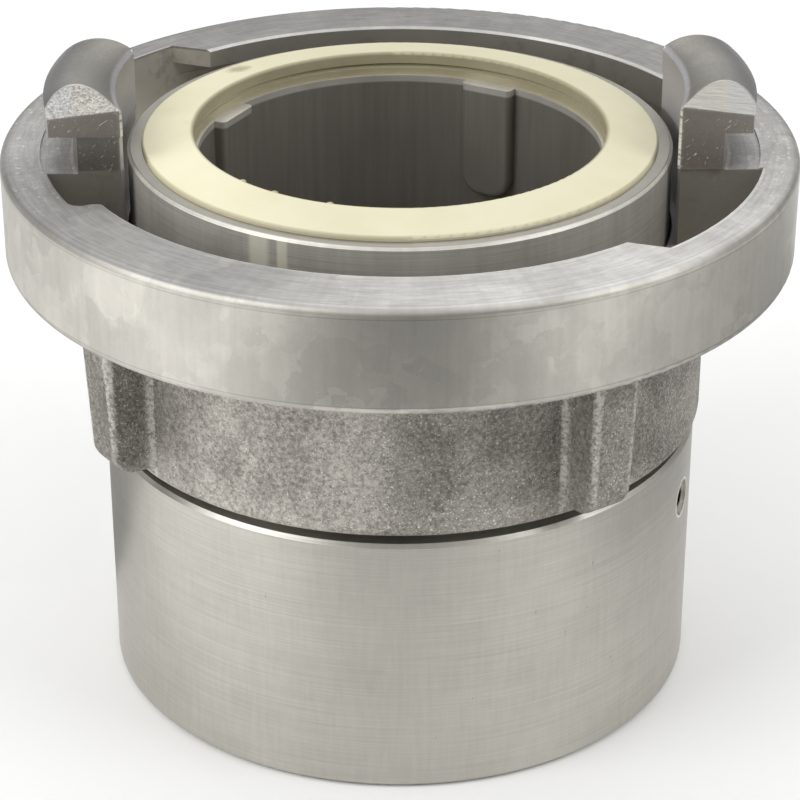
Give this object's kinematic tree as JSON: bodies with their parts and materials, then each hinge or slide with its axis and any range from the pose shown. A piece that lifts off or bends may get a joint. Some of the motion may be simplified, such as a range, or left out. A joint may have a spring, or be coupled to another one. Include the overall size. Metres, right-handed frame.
{
  "type": "storz threaded coupling",
  "caption": "Hose coupling with a turning ring of two hooked lugs, a rubber face seal and a female pipe thread socket.",
  "frame": {"origin": "on the water axis, at the lower face of the threaded socket", "axes": "+Z along the water axis, up to the sealing face; the two lugs lie on +X and -X"},
  "size_m": [0.126, 0.126, 0.1027],
  "materials": {
    "cast_aluminium": "cast, with the band and flange machined",
    "turned_aluminium": "fine turned",
    "seal_rubber": "smooth, cream",
    "steel_screw": "plain steel",
    "black_rubber": "matt black",
    "slide_plastic": "natural acetal"
  },
  "bodies": {
    "coupling_body": {"seal_carrier": "turned_aluminium", "threaded_socket": "turned_aluminium", "face_seal": "seal_rubber", "grub_screw": "steel_screw", "upper_slide_ring": "slide_plastic", "lower_slide_ring": "slide_plastic", "carrier_o_ring": "black_rubber", "thread_gasket": "black_rubber"},
    "lug_ring": {"lug_ring": "cast_aluminium"}
  },
  "joints": [
    {"name": "lug_ring_spin", "type": "hinge", "parent": "coupling_body", "child": "lug_ring", "pos_m": [0, 0, 0.065], "axis": [0, 0, 1], "continuous": true}
  ]
}
